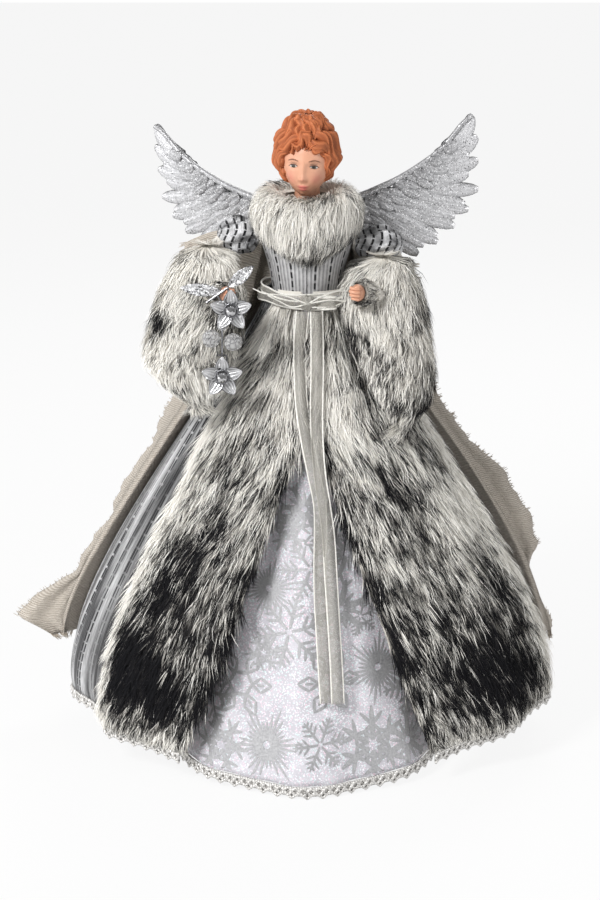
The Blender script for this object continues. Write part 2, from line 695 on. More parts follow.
def fur(
    name, node, body, surface, shade, count, length, depth, seed,
    spread=0.5, lift=1.6, swirl=0.4, closed=True, over=0.0, end=1.2, grain=0.2,
):
    """Hairs that lie along a surface, over a dark backing of the same form.

    surface(a, b, offset) is a point of the pile's outer face moved out by the offset; the hairs run along +b.
    shade(a, b, point) goes from 0 for cream to 1 for black. depth is how far the roots lie below the face.
    """
    draw = np.random.default_rng(seed)
    rows, across = 40, 40
    b, a = crossed(steps(rows), steps(across))
    net = surface(a, b, 0.0)
    corner = np.cross(net[1:, :-1] - net[:-1, :-1], net[:-1, 1:] - net[:-1, :-1])
    weight = np.linalg.norm(corner, axis=-1).ravel()

    def scatter(number):
        cell = draw.choice(len(weight), number, p=weight / weight.sum())
        at_a = (cell % across + draw.random(number)) / across
        return at_a, (cell // across + draw.random(number)) / rows

    def normals(at_a, at_b, step=0.004):
        along = surface(at_a, at_b + step, 0.0) - surface(at_a, at_b - step, 0.0)
        aside = surface(at_a + step, at_b, 0.0) - surface(at_a - step, at_b, 0.0)
        normal = unit(np.cross(aside, unit(along)))
        inner = surface(at_a, at_b, -1.0) - surface(at_a, at_b, 0.0)
        return np.where((normal * inner).sum(-1, keepdims=True) > 0, -normal, normal)

    # Locks, which the hairs near them lean to
    lock_a, lock_b = scatter(count // 5)
    lock_root = surface(lock_a, lock_b, -depth)
    lock_shade = mottle(shade(lock_a, lock_b, lock_root) + draw.normal(0, grain, len(lock_a)))
    lock_turn = draw.normal(0, 0.2, len(lock_a))
    lock_length = draw.uniform(0.75, 1.2, len(lock_a))
    lock_lift = draw.uniform(-0.4, 1.0, len(lock_a))
    tree = kdtree.KDTree(len(lock_root))
    for i, root in enumerate(lock_root):
        tree.insert(root, i)
    tree.balance()

    at_a, at_b = scatter(count)
    at_b = at_b * (1 + over) - over
    root = surface(at_a, np.clip(at_b, 0, 1), -depth)
    normal = normals(at_a, np.clip(at_b, 0.01, 0.99))
    lock = np.array([tree.find(p)[1] for p in root])
    turn = swirl * wobble(root, 26, seed) + lock_turn[lock] + draw.normal(0, 0.09, count)
    reach = length * lock_length[lock] * draw.uniform(0.8, 1.15, count)
    step = 0.01
    ahead_b = np.clip(at_b + step, step, 1)
    per_b = (surface(at_a, ahead_b, 0.0) - surface(at_a, ahead_b - step, 0.0)) / step
    per_a = (surface(at_a + step, ahead_b, 0.0) - surface(at_a - step, ahead_b, 0.0)) / (2 * step)
    size_b, size_a = np.linalg.norm(per_b, axis=-1), np.linalg.norm(per_a, axis=-1)
    move_b = np.minimum(np.cos(turn) * reach / size_b, np.maximum(end - at_b, 0.015))
    move_a = np.sin(turn) * reach / np.maximum(size_a, 0.3 * np.median(size_a))
    pull_a, pull_b = lock_a[lock] - at_a, lock_b[lock] - at_b
    if closed:
        pull_a = pull_a - np.round(pull_a)
    rise = depth + lift * (lock_lift[lock] + draw.normal(0, 0.35, count))
    half = draw.uniform(0.75, 1.2, count) * spread / 2
    roll = draw.uniform(-0.7, 0.7, count)
    middles = []
    for t in FUR_SEGMENTS:
        close = 0.6 * t**1.5
        b_now = at_b + move_b * t + pull_b * close
        inside = np.clip(b_now, 0, 1)
        height = -depth + rise * (1 - (1 - t) ** 2)
        middle = surface(at_a + move_a * t + pull_a * close, inside, height)
        middle = middle + unit(per_b) * ((b_now - inside) * size_b)[:, None]
        middle[:, 2] -= 0.05 * reach * t * t
        middles.append(middle)
    beside = unit(np.cross(normal, middles[2] - middles[0]))
    flat = beside * np.cos(roll)[:, None] + normal * np.sin(roll)[:, None]
    blades = []
    for middle, taper in zip(middles, FUR_TAPER):
        aside = flat * (half * taper)[:, None]
        blades += [middle] if taper == 0 else [middle - aside, middle + aside]
    tone = np.clip(lock_shade[lock] + draw.normal(0, 0.09, count), 0.02, 0.98)
    up = np.repeat(FUR_SEGMENTS, (2, 2, 2, 1))
    uv = columns(np.repeat(tone[:, None], 7, 1), np.clip(up, 0.01, 0.99))
    base = 7 * np.arange(count)[:, None]
    faces = [np.concatenate([base + [0, 1, 3, 2], base + [2, 3, 5, 4]]), base + [4, 5, 6]]

    backing_uv = columns(0.16 + 0.7 * mottle(shade(a, b, net)), 0.3)
    ground = make_mesh(f"{name}_backing", surface(a, b, -0.8 * depth), grid_faces(rows, across), backing_uv, "OFBake")
    pile = make_mesh(name, np.stack(blades, 1), faces, uv, "OFBake")
    backing = place(f"{name}_backing", ground, body, "fake_fur", FUR)
    return backing, place(name, pile, body, "fake_fur", FUR, node)


def panel_surface(side):
    def surface(a, b, offset):
        b = np.clip(b, 0, 1)
        swell = np.clip((b - FUR_START) / 0.2, 0, 1)
        profile = lerp(1, lerp(0.6, 1, np.sin(PI * np.clip(a, 0, 1))), swell)
        out = lerp(FUR_WAIST_THICKNESS, FUR_THICKNESS, swell) * profile - COAT_CLOTH
        return COAT.point(side * lerp(coat_front_angle(b), SEAM_ANGLES[side], a), b, out + offset)

    return surface


PANEL_PATCHES = {
    # share across, share down, half width, half height and added darkness
    -1: [
        (0.5, 0.59, 0.3, 0.09, 0.55), (0.7, 0.71, 0.3, 0.08, 0.4), (0.5, 0.81, 0.5, 0.08, 0.85),
        (0.15, 0.93, 0.2, 0.07, -0.4), (0.6, 0.36, 0.2, 0.1, 0.22), (0.2, 0.2, 0.3, 0.09, -0.25),
        (0.0, 0.6, 0.06, 0.4, 0.5), (0.5, 1.0, 1.0, 0.04, -0.3), (1.0, 0.5, 0.12, 0.9, -1.1),
    ],
    1: [
        (0.5, 0.82, 0.34, 0.09, 0.72), (0.3, 0.72, 0.25, 0.1, 0.2), (0.35, 0.45, 0.16, 0.08, 0.3),
        (0.7, 0.52, 0.14, 0.035, -0.4), (0.2, 0.24, 0.3, 0.09, -0.3), (0.55, 0.2, 0.12, 0.12, 0.25),
        (0.12, 0.92, 0.14, 0.06, -0.2), (0.5, 1.0, 1.0, 0.04, -0.25), (0.0, 0.6, 0.05, 0.4, 0.5),
        (0.72, 0.66, 0.2, 0.06, 0.25), (1.0, 0.5, 0.11, 0.9, -1.1),
    ],
}


def panel_shade(side):
    def shade(a, b, point):
        dark = 0.34 + 0.08 * eased(b, 0.3, 0.8)
        for at_a, at_b, wide, high, amount in PANEL_PATCHES[side]:
            dark = dark + amount * peak(a, at_a, wide) * peak(b, at_b, high)
        return dark + 0.26 * streaks(a, b, 0.03, 0.06, 5 + side)

    return shade


def fur_panels():
    for side, name, count, width, area in ((-1, "left", 32000, 0.1, 0.0172), (1, "right", 36000, 0.14, 0.0263)):
        backing, pile = fur(
            f"coat_fur_{name}", f"coat_fur_panel_{name}", FIGURE, panel_surface(side), panel_shade(side),
            count, 22, 5.5, 11 + side, swirl=0.28, closed=False, lift=2.8, spread=0.44, end=1.003, grain=0.3,
        )


# Sleeves, cuffs and collar

SLEEVE_RINGS = {
    # centre x, centre y, height, half width and half depth, from the top down
    -1: [
        [-61, -7, 317.5, 1.5, 1.2], [-61, -8, 313, 14, 10], [-62, -12, 306, 18, 14], [-64, -20, 292, 22.5, 18],
        [-67, -28, 275, 25.5, 20], [-70.5, -36, 257, 26.5, 19], [-71, -40, 247, 23, 17], [-68, -43, 237, 15, 12],
        [-66, -44, 230, 7, 6],
    ],
    1: [
        [46, -11, 311.5, 1.5, 1.2], [46, -12, 307, 14, 10], [45, -16, 300, 18, 13], [46, -22, 290, 21, 16],
        [48, -30, 275, 23, 18], [52, -36, 260, 22, 18], [56.5, -41, 244, 19, 16], [59, -45, 228, 13, 12],
        [58, -47, 218, 5, 6],
    ],
}
SLEEVE_SPOTS = {
    # x, height, half width, half height and darkness of the black patches
    -1: [
        (-84, 287, 13, 4.5, 1.0), (-98, 296, 8, 12, 0.9), (-101, 247, 8, 9, 1.1), (-92, 228, 8, 4, 0.5),
        (-60, 306, 9, 5, 0.55), (-52, 290, 6, 12, 0.6), (-60, 262, 6, 6, 0.35), (-66, 274, 16, 3, 0.3),
    ],
    1: [
        (77, 262, 8, 28, 1.0), (72, 232, 8, 12, 0.8), (25, 268, 8, 24, 1.1), (33, 246, 6, 16, 0.9),
        (66, 292, 8, 8, 0.5), (50, 262, 6, 9, 0.3), (58, 240, 8, 8, 0.3),
    ],
}
SLEEVE_TONES = {-1: (0.07, 0.24), 1: (0.12, 0.32)}  # ground and streaks
HANDS = {-1: (-48, -53, 295), 1: (30, -51, 296)}
ELBOWS = {-1: (-74, -12, 289), 1: (60, -10, 286)}


def sleeve_surface(side):
    rings = curve_through(SLEEVE_RINGS[side], 57)
    table = np.column_stack([np.linspace(0, 1, len(rings)), rings])
    elbow_side = 6 if side > 0 else 2

    def surface(a, b, offset):
        x, y, z, wide, deep = looked_up(b, table)
        across, ahead = np.sin(2 * PI * a), np.cos(2 * PI * a)
        # Behind the arm the section is fuller and squarer, so that it covers the elbow
        elbow = peak(z, 296, 22) * eased(b, 0, 0.1)
        power = np.where(ahead < 0, 1 - 0.45 * elbow, 1)
        across, ahead = (np.sign(part) * np.abs(part) ** power for part in (across, ahead))
        fuller = elbow * np.clip(-ahead, 0, 1)
        wide, deep = wide + offset + elbow_side * fuller, deep + offset + 9 * fuller
        return columns(x + wide * across, y - deep * ahead, z)

    return surface


def sleeve_shade(side):
    ground, streak = SLEEVE_TONES[side]

    def shade(a, b, point):
        dark = ground + 0.08 * eased(b, 0.2, 0.9)
        for x, z, half_x, half_z, amount in SLEEVE_SPOTS[side]:
            dark = dark + amount * peak(point[..., 0], x, half_x) * peak(point[..., 2], z, half_z)
        dark = dark + 0.35 * eased(-np.cos(2 * PI * a), 0.3, 1)
        return dark + streak * streaks(a, b, 0.035, 0.14, 9 + side)

    return shade


def cuff_surface(hand, elbow):
    """Fur round a wrist; b goes from the elbow's side to the hand."""
    back = unit(np.array(elbow, float) - np.array(hand))
    side = unit(np.cross(back, (0, 0, 1)))
    over = np.cross(side, back)

    def surface(a, b, offset):
        turn = 2 * PI * np.asarray(a)[..., None]
        reach = (lerp(8.5, 6.5, b) + offset)[..., None]
        centre = np.array(hand) + back * lerp(15.0, 3.5, b)[..., None]
        return centre + (side * np.cos(turn) + over * np.sin(turn)) * reach

    return surface


def cuff_shade(a, b, point):
    return 0.3 + 0.3 * streaks(a, b, 0.1, 0.5, 3)


def fur_sleeves():
    for side, name, body in ARMS:
        backing, _ = fur(
            f"sleeve_fur_{name}", f"fur_sleeve_{name}", body, sleeve_surface(side), sleeve_shade(side),
            32000, 19, 6.5, 21 + side, swirl=0.55, lift=3.6, over=0.06,
        )


def fur_cuffs():
    for side, name, body in ARMS:
        surface = cuff_surface(HANDS[side], ELBOWS[side])
        backing, _ = fur(f"cuff_fur_{name}", None, body, surface, cuff_shade, 3500, 9, 2.5, 41 + side, lift=1.6)


def collar_surface(a, b, offset):
    """The collar's section is gone round from its inner top, over the outside, to its inner bottom."""
    angle = 2 * PI * a
    turn = PI * lerp(0.78, -0.5, b)
    front = (1 + np.cos(angle)) / 2
    pile = lerp(7, 11, front) + offset
    height = TORSO_TOP + lerp(6, -5, front)
    depth = np.where(np.cos(angle) > 0, 26, 14)
    dip = np.where(np.sin(turn) > 0, 1 - 0.2 * peak(np.sin(angle / 2), 0, 0.33), 1)
    half = (lerp(9, 18, front) + offset) * dip
    out = pile * np.cos(turn)
    return columns((23 + out) * np.sin(angle), -(depth + out) * np.cos(angle), height + half * np.sin(turn))


def collar_shade(a, b, point):
    x, low = np.abs(point[..., 0]), eased(b, 0.45, 1.0)
    dark = 0.13 + 0.3 * low + 0.6 * peak(x, 29, 8) * eased(b, 0.3, 0.8) + 0.25 * peak(x, 6, 4) * peak(b, 0.62, 0.2)
    dark = dark + 0.25 * eased(-np.cos(2 * PI * a), 0.0, 1.0)
    return dark + 0.34 * streaks(a, b, 0.03, 0.2, 4)


def fur_collar():
    backing, _ = fur(
        "collar_fur", "fur_collar", FIGURE, collar_surface, collar_shade,
        30000, 18, 5.0, 31, swirl=0.6, lift=3.4, spread=0.42,
    )


# Skirts


def inner_ripple(angle, drop):
    return 0.6 * drop * np.sin(23 * angle + 4 * drop)


def inner_skirt():
    rows, across = 70, 260
    drop, angle = crossed(steps(rows, 0.012), turns(across))
    skirt = build(
        "inner_skirt_cloth", INNER.point(angle, drop, inner_ripple(angle, drop)),
        grid_faces(rows, across, True, flip=True), columns(angle * 100, drop * WAIST),
        FIGURE, "glitter_cloth", GLITTER_CLOTH, "inner_skirt",
    )
    thicken(skirt, 0.5)


def heading(turn):
    return np.array([math.cos(turn), math.sin(turn)])


def snowflake(kind, size):
    """A six-armed flake as flat strokes: each is a start, an end and a half width, in shares of the size."""
    strokes = []
    for arm in range(6):
        turn = PI / 3 * arm
        ahead, side = heading(turn), heading(turn + PI / 2)
        if kind == 0:
            strokes.append((0.08 * ahead, ahead, 0.045))
            for at, reach in ((0.4, 0.3), (0.62, 0.24), (0.82, 0.14)):
                for s in (-1, 1):
                    strokes.append((at * ahead, (at + 0.8 * reach) * ahead + s * reach * side, 0.04))
        elif kind == 1:
            strokes.append((0.12 * ahead, 0.95 * ahead, 0.07))
            for s in (-1, 1):
                wing = 0.34 * ahead + s * 0.2 * side
                strokes.append((0.5 * ahead, 0.78 * ahead + s * 0.3 * side, 0.05))
                strokes += [(wing, 0.52 * ahead, 0.045), (wing, 0.16 * ahead, 0.045)]
        elif kind == 3:
            inner, outer = 0.34 * ahead, 0.96 * ahead
            for s in (-1, 1):
                wide = 0.62 * ahead + s * 0.2 * side
                strokes += [(inner, wide, 0.045), (wide, outer, 0.045)]
            strokes += [(inner, 0.34 * heading(turn + PI / 3), 0.05), (0.5 * ahead, 0.74 * ahead, 0.04)]
        elif kind == 4:
            for k in range(-2, 3):
                ray = heading(turn + k * PI / 15)
                strokes.append((0.1 * ray, (0.98 - 0.2 * abs(k)) * ray, 0.034))
        else:
            between = heading(turn + PI / 6)
            strokes += [(0.1 * ahead, 0.85 * ahead, 0.09), (0.2 * between, 0.6 * between, 0.05)]
            for s in (-1, 1):
                strokes.append((0.66 * ahead, 0.9 * ahead + s * 0.2 * side, 0.045))
    return [(start * size, end * size, half * size) for start, end, half in strokes]


FLAKES = [
    # angle on the skirt in degrees, drop, size, kind and turn in degrees
    (-16, 0.93, 24, 4, 10), (10, 0.8, 21, 3, 0), (26, 0.94, 25, 1, 25), (-30, 0.82, 22, 3, 5),
    (-9, 0.7, 23, 0, 18), (18, 0.66, 21, 2, 12), (-22, 0.62, 20, 4, 20), (2, 0.57, 20, 0, 8),
    (33, 0.79, 23, 4, 14), (-2, 0.45, 18, 2, 0), (14, 0.5, 17, 3, 22), (-13, 0.49, 17, 1, 9),
    (5, 0.92, 17, 0, 7), (-34, 0.95, 20, 1, 0), (40, 0.95, 21, 2, 17), (25, 0.55, 18, 2, 3),
    (-44, 0.86, 22, 0, 12), (47, 0.84, 22, 0, 2), (-57, 0.93, 21, 2, 9), (60, 0.93, 22, 1, 21),
    (-21, 0.75, 13, 1, 15), (28, 0.68, 13, 0, 8), (0, 0.34, 14, 0, 15),
    # and those round the back
    *((a, round(0.66 + 0.27 * ((i * 0.37) % 1), 2), 21, i % 5, 11 * i) for i, a in enumerate(range(74, 290, 13))),
]
STROKE_TAPER = np.array([[0.7], [1], [1], [0.9], [0.35]])


def snowflake_print():
    parts = Parts()
    count = len(STROKE_TAPER) - 1
    for degrees, drop, size, kind, turn in FLAKES:
        middle_angle = math.radians(degrees)
        here = INNER.point(middle_angle, drop)
        span = np.linalg.norm(INNER.point(middle_angle + 0.01, drop) - here) / 0.01
        fall = np.linalg.norm(INNER.point(middle_angle, drop + 0.01) - here) / 0.01
        spin = math.radians(turn)
        for start, end, half in snowflake(kind, size):
            along = end - start
            side = np.array([-along[1], along[0]]) / np.linalg.norm(along) * half
            middle = start + along * steps(count)[:, None]
            flat = np.stack([middle - side * STROKE_TAPER, middle, middle + side * STROKE_TAPER], 1).reshape(-1, 2)
            x = flat @ (math.cos(spin), -math.sin(spin))
            y = flat @ (math.sin(spin), math.cos(spin))
            angle = middle_angle + x / span
            at_drop = np.clip(drop - y / fall, 0.02, 0.995)
            parts.add(INNER.point(angle, at_drop, 0.25 + inner_ripple(angle, at_drop)), grid_faces(count, 2))
    parts.place("snowflake_print", FIGURE, "glitter_cloth", SNOW_PRINT)


def gimp(name, node, skirt, angles, closed, height, period, radius, under=lambda angle: 0.0):
    """A braid of wavy cords that loop over one another between two straight ones."""
    parts = Parts()
    length = np.concatenate([[0], np.cumsum(np.linalg.norm(np.diff(skirt.point(angles, 1.0), axis=0), axis=1))])
    waves = round(length[-1] / period)
    open_end = 0 if closed else 1
    at = np.linspace(0, 1, waves * 12 + open_end, endpoint=not closed)
    angle = np.interp(at * length[-1], length, angles)

    def row(out, level):
        points = skirt.point(angle, 1.0, out + under(angle))
        points[:, 2] -= GAP + height * level
        return points

    turn = 2 * PI * waves * at
    for wave, amplitude, middle, out, thick in (
        (np.sin(turn), 0.32, 0.42, 0.4, 1.0),
        (-np.sin(turn), 0.32, 0.42, 0.9, 1.0),
        (np.abs(np.sin(turn / 2)) * 1.6 - 0.9, -0.26, 0.82, 0.5, 0.95),
        (0.35 * np.sin(2 * turn), 0.1, 0.12, 0.5, 0.85),
    ):
        points, faces, uv = sweep(row(out, middle + amplitude * wave), radius * thick, 6, closed)
        uv[:, 1] *= length[-1]
        parts.add(points, faces, uv)
    band = [row(out, level) for level, out in ((0.1, 0.0), (0.9, 0.0), (0.9, -0.8), (0.1, -0.8))]
    faces = grid_faces(len(angle) - open_end, 4, True) % (4 * len(angle))
    parts.add(np.stack(band, 1), faces, columns(0.0, np.repeat(at * length[-1], 4)))
    parts.place(name, FIGURE, "silver_braid", BRAID, node)


def hem_braids():
    gimp("inner_hem_gimp", "inner_hem_braid", INNER, np.linspace(0, 2 * PI, 240), True, 6.8, 9.4, 0.95)

    def under(angle):
        """How far the braid stands out where it edges the fur."""
        right, left = SEAM_ANGLES[1], SEAM_ANGLES[-1]
        return 7.5 * (1 - eased(angle, right - 0.06, right) * eased(2 * PI - angle, left - 0.06, left))

    front = float(coat_front_angle(1.0))
    angles = np.linspace(front, 2 * PI - front, 300)
    gimp("coat_hem_gimp", "coat_hem_braid", COAT, angles, False, 6.2, 8.2, 0.85, under)


COAT_UNDERLAP = 0.03  # how far the brocade goes in under the fur, in radians
RIB_PITCH = 4.2


def coat_skirt():
    rows, across = 60, 420
    first, last = SEAM_ANGLES[1] - COAT_UNDERLAP, 2 * PI - SEAM_ANGLES[-1] + COAT_UNDERLAP
    drop, angle = crossed(steps(rows), steps(across, first, last))
    ribs = 0.35 * np.cos(2 * PI * angle * COAT_REACH / RIB_PITCH)
    soft = 1.2 * drop * np.sin(9 * angle + 5 * drop)
    coat = build(
        "coat_brocade", COAT.point(angle, drop, 0.4 + np.minimum(ribs, 0.3) + 0.4 * soft),
        grid_faces(rows, across, flip=True), columns(angle * COAT_REACH, drop * 330),
        FIGURE, "brocade", BROCADE, "coat_skirt",
    )
    thicken(coat, 0.5)


# Cape

CAPE_TOP = TORSO_TOP - 36
CAPE_HEM = 52
CAPE_SPAN = 150
CAPE_WRAP_ANGLE = math.radians(100)
CAPE_WRAP_SHARE = 0.72
CAPE_EDGE_DEPTHS = (16, 42)  # behind the spine, at the top and lower down
CAPE_PLEATS = 8
CAPE_CLOTH = (560, 300)  # what the weave is laid out on
CAPE_SHARES = np.array([
    # height as a share of the drop, left and right edges as shares of the half span, and depth
    [0, 0.51, 0.44, 0], [0.18, 0.52, 0.46, 0.2], [0.36, 0.57, 0.55, 0.5], [0.48, 0.66, 0.72, 0.8],
    [0.57, 0.74, 0.85, 0.9], [0.66, 0.83, 0.94, 1], [0.76, 0.93, 1, 1], [0.84, 1.02, 0.97, 1],
    [0.9, 1.16, 0.97, 1], [0.96, 1.26, 1.05, 1], [1, 1.12, 1.07, 1],
])
CAPE_PEAKS = ((18, 0.07, 0.09), (18, 0.28, 0.12), (24, 0.8, 0.08))  # rise, place and width on the top edge


def cape_point(u, v):
    """u goes from the left edge round the back to the right one, v from the top to the hem."""
    u, v = np.broadcast_arrays(np.asarray(u, float), np.asarray(v, float))
    left, right, deep = looked_up(v, CAPE_SHARES)
    height = lerp(CAPE_TOP, CAPE_HEM, v)
    across = 2 * u - 1
    within = np.minimum(1, np.abs(across) / CAPE_WRAP_SHARE)
    beyond = np.clip((np.abs(across) - CAPE_WRAP_SHARE) / (1 - CAPE_WRAP_SHARE), 0, 1)
    angle = PI - np.sign(across) * (PI - CAPE_WRAP_ANGLE) * within
    fallen = (WAIST - height) / (WAIST - COAT.hem_height(angle))
    out = coat_flare(coat_drop_at(np.clip(fallen, 0, 1)))[0]
    wide, long = COAT.half(out, 4 + COAT.fold * out)
    wrapped = columns(wide * np.sin(angle), COAT.backset * out - long * np.cos(angle), height)
    edge = columns(np.where(across < 0, -left, right) * CAPE_SPAN, lerp(*CAPE_EDGE_DEPTHS, deep), height)
    point = lerp(wrapped, edge, beyond[..., None])
    outward = unit(columns(wrapped[..., 0] / wide, (wrapped[..., 1] - COAT.backset * out) / long, 0))
    turned = 2 * PI * (CAPE_PLEATS * u + 0.35 * np.sin(3 * v))
    pleats = 5.5 * (0.5 + 0.5 * np.sin(turned)) ** 2 * eased(v, 0.03, 0.55)
    point = point + outward * ((pleats + 2.4 * peak(height, 286, 9)) * (1 - beyond))[..., None]
    folds = 2.4 * np.sin(2 * PI * (6.5 * u + 0.6 * v)) * eased(v, 0.1, 0.6)
    folds = folds + 1.5 * np.sin(2 * PI * (15 * u + 0.3)) * v
    point[..., 1] += folds * lerp(0.5, 1.0, beyond)
    ragged = 3.5 * wobble(columns(14 * v, 3 * np.sign(across), 0.5), 1.0, 4)
    ragged = ragged + 1.2 * wobble(columns(60 * v, 0.5, 0.5), 1.0, 8)
    point[..., 0] += ragged * eased(np.abs(across), 0.8, 1.0) * eased(v, 0.05, 0.2)
    # The top edge stands up behind the arms, and clear of the puffs
    raised = sum(rise * peak(u, at, width) for rise, at, width in CAPE_PEAKS) * (1 - eased(v, 0.0, 0.22))
    point[..., 1] += 13 * eased(np.abs(point[..., 0]), 20, 32) * eased(raised, 0, 8)
    point[..., 2] += raised
    point[..., 2] += 3 * wobble(columns(30 * u, 6 * v, 0.5), 1.0, 2) * eased(v, 0.85, 1.0)
    return point


def cape():
    rows, across = 90, 220
    v, u = crossed(steps(rows), steps(across))
    drape = build(
        "cape_burlap", cape_point(u, v), grid_faces(rows, across), columns(u * CAPE_CLOTH[0], v * CAPE_CLOTH[1]),
        FIGURE, "burlap", BURLAP, "cape",
    )
    thicken(drape, 0.7, 0)


def cape_fray():
    """Loose threads along the cape's cut edges."""
    draw = np.random.default_rng(5)
    parts = Parts()
    for fixed_u, count in ((0.0, 260), (1.0, 260), (None, 420)):
        at = draw.random(count)
        if fixed_u is None:
            start, inward = cape_point(at, 1.0), cape_point(at, 0.98)
        else:
            start, inward = cape_point(fixed_u, at), cape_point(np.clip(fixed_u, 0.01, 0.99), at)
        for p, o in zip(start, unit(start - inward)):
            length = draw.uniform(1.5, 4.5)
            side = draw.normal(0, 0.5, 3)
            path = [p - o, p + o * length * 0.5 + side * 0.5, p + o * length + side]
            parts.add(*sweep(curve_through(path, 4), [0.3, 0.27, 0.22, 0.15], 4))
    parts.place("cape_fray", FIGURE, "burlap", BURLAP)


# Bodice, puffs and sash

BODICE_LOW, BODICE_HIGH = 268, 334
PUFF_RADIUS = 13
PUFF_WIDTHS = {-1: 27, 1: 31}
SHOULDER_X = CHEST_HALF_WIDTH + GAP + BODICE_CLOTH + 0.6


def bodice():
    rows, across = 60, 264
    height, angle = crossed(steps(rows, BODICE_LOW, BODICE_HIGH), turns(across))
    width, depth = torso_half(height)
    rib = 0.35 * np.cos(2 * PI * angle * 24 / 2.6)
    crimp = 0.3 * wobble(columns(angle * 9, height / 3.0, 0.5), 1.0, 6)
    out = GAP + BODICE_CLOTH - 0.3 + rib + crimp
    knit = build(
        "bodice_knit", columns((width + out) * np.sin(angle), -(depth + out) * np.cos(angle), height),
        grid_faces(rows, across, True), columns(angle * 24, height), FIGURE, "ribbed_knit", KNIT, "bodice",
    )
    thicken(knit, 0.5)


def shoulder_puffs():
    tilt = np.array(Matrix.Rotation(SHOULDER_TILT, 3, "Y"))
    rows, across = 44, 120
    polar, turn = crossed(steps(rows, 0.04, PI - 0.04), turns(across))
    for side, name, body in ARMS:
        half = PUFF_WIDTHS[side] / 2
        gather = 0.8 * np.sin(7 * polar + 2.2 * np.sin(2 * turn + side))
        gather = gather + 1.2 * np.cos(8 * turn + 2.5 * np.sin(2 * polar))
        radius = (PUFF_RADIUS - 1.8 + gather) * np.sin(polar)
        local = columns(half * np.cos(polar), radius * np.cos(turn), radius * np.sin(turn))
        middle_x = side * (SHOULDER_X + half + GAP)
        middle = np.array([middle_x, WIRE_BACK, WIRE_HEIGHT - middle_x * math.tan(SHOULDER_TILT)])
        puff = build(
            f"puff_satin_{name}", local @ tilt.T + middle, grid_faces(rows, across, True, flip=True),
            columns(polar * half + 1.6 * np.sin(3 * turn), turn * PUFF_RADIUS),
            body, "striped_satin", SATIN, f"sleeve_puff_{name}",
        )


UPRIGHT = np.array([[0.0, 0.0, 1.0]])
KNOT = np.array([0, -30.3, 285.7])
KNOT_HALF = np.array([4.6, 4.0, 4.2])
TAIL_CURL = 2.5
TAIL_SHARES = {
    "left": [-0.35, -0.55, -0.55, -0.4, 0, 0.5, 0.95, 1, 0.95, 1, 1.15, 1.3, 1.45],
    "right": [0.7, 0.75, 0.75, 0.7, 0.75, 0.95, 1.3, 1.6, 1.75, 1.9, 2.05, 2.2, 2.3],
}
LOOSE_ENDS = (
    [(0, 0, 0), (-14, 1, 5), (-26, 9, 5), (-33, 16, 7)],
    [(0, 0, 0), (10, 1, 5), (20, 6, 7), (27, 11, 4), (17, 5, -2), (3, -1, -2)],
    [(0, 0, 0), (13, 2, 2), (25, 8, 1), (29, 13, 8)],
    [(0, 0, 0), (-9, 1, -2), (-17, 4, 1), (-24, 8, 4)],
)


def ribbon(sheer, edges, path, across_dir, width, depth=0.4):
    """A ribbon along a path, with thick pale edges; its width lies along across_dir at each point."""
    shares = steps(8, -0.5, 0.5)
    curl = depth * np.cos(PI * shares)
    normal = unit(np.cross(unit(np.gradient(path, axis=0)), across_dir))
    points = path[:, None] + across_dir[:, None] * (shares * width)[:, None] + normal[:, None] * curl[:, None]
    sheer.add(points, grid_faces(len(path) - 1, 8))
    for share in (-0.5, 0.5):
        edges.add(*sweep(path + across_dir * share * width, 0.55, 6))


def place_ribbon(name, sheer, edges, node, thickness=0.2, edge_name=None):
    band = sheer.place(name, FIGURE, "organza", ORGANZA, node)
    thicken(band, thickness, 0)
    return [band, edges.place(edge_name or f"{name}_edge", FIGURE, "organza", ORGANZA_EDGE)]


def tail_path(name):
    """The tail hangs before the knot, then lies on the fur and, lower down, on the inner skirt."""
    low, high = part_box(f"sash_tail_{name}")
    heights = steps(12, high[2] / MM, low[2] / MM)
    drops = coat_drop_at((WAIST - heights) / (WAIST - COAT_HEM_FRONT))
    fur_front = panel_surface(-1)(0.25, drops, 0.0)[:, 1]
    cloth = INNER.point(0.0, (WAIST - heights) / (WAIST - INNER_HEM_FRONT))[:, 1]
    fronts = np.where(heights < COAT_OPENING_TOP - 3 * RIBBON, cloth, fur_front) - 3
    fronts[0] = KNOT[1]
    fronts = np.minimum.accumulate(fronts) - (0 if name == "left" else 1.3)
    return curve_through(columns(np.array(TAIL_SHARES[name]) * RIBBON, fronts, heights), 60)


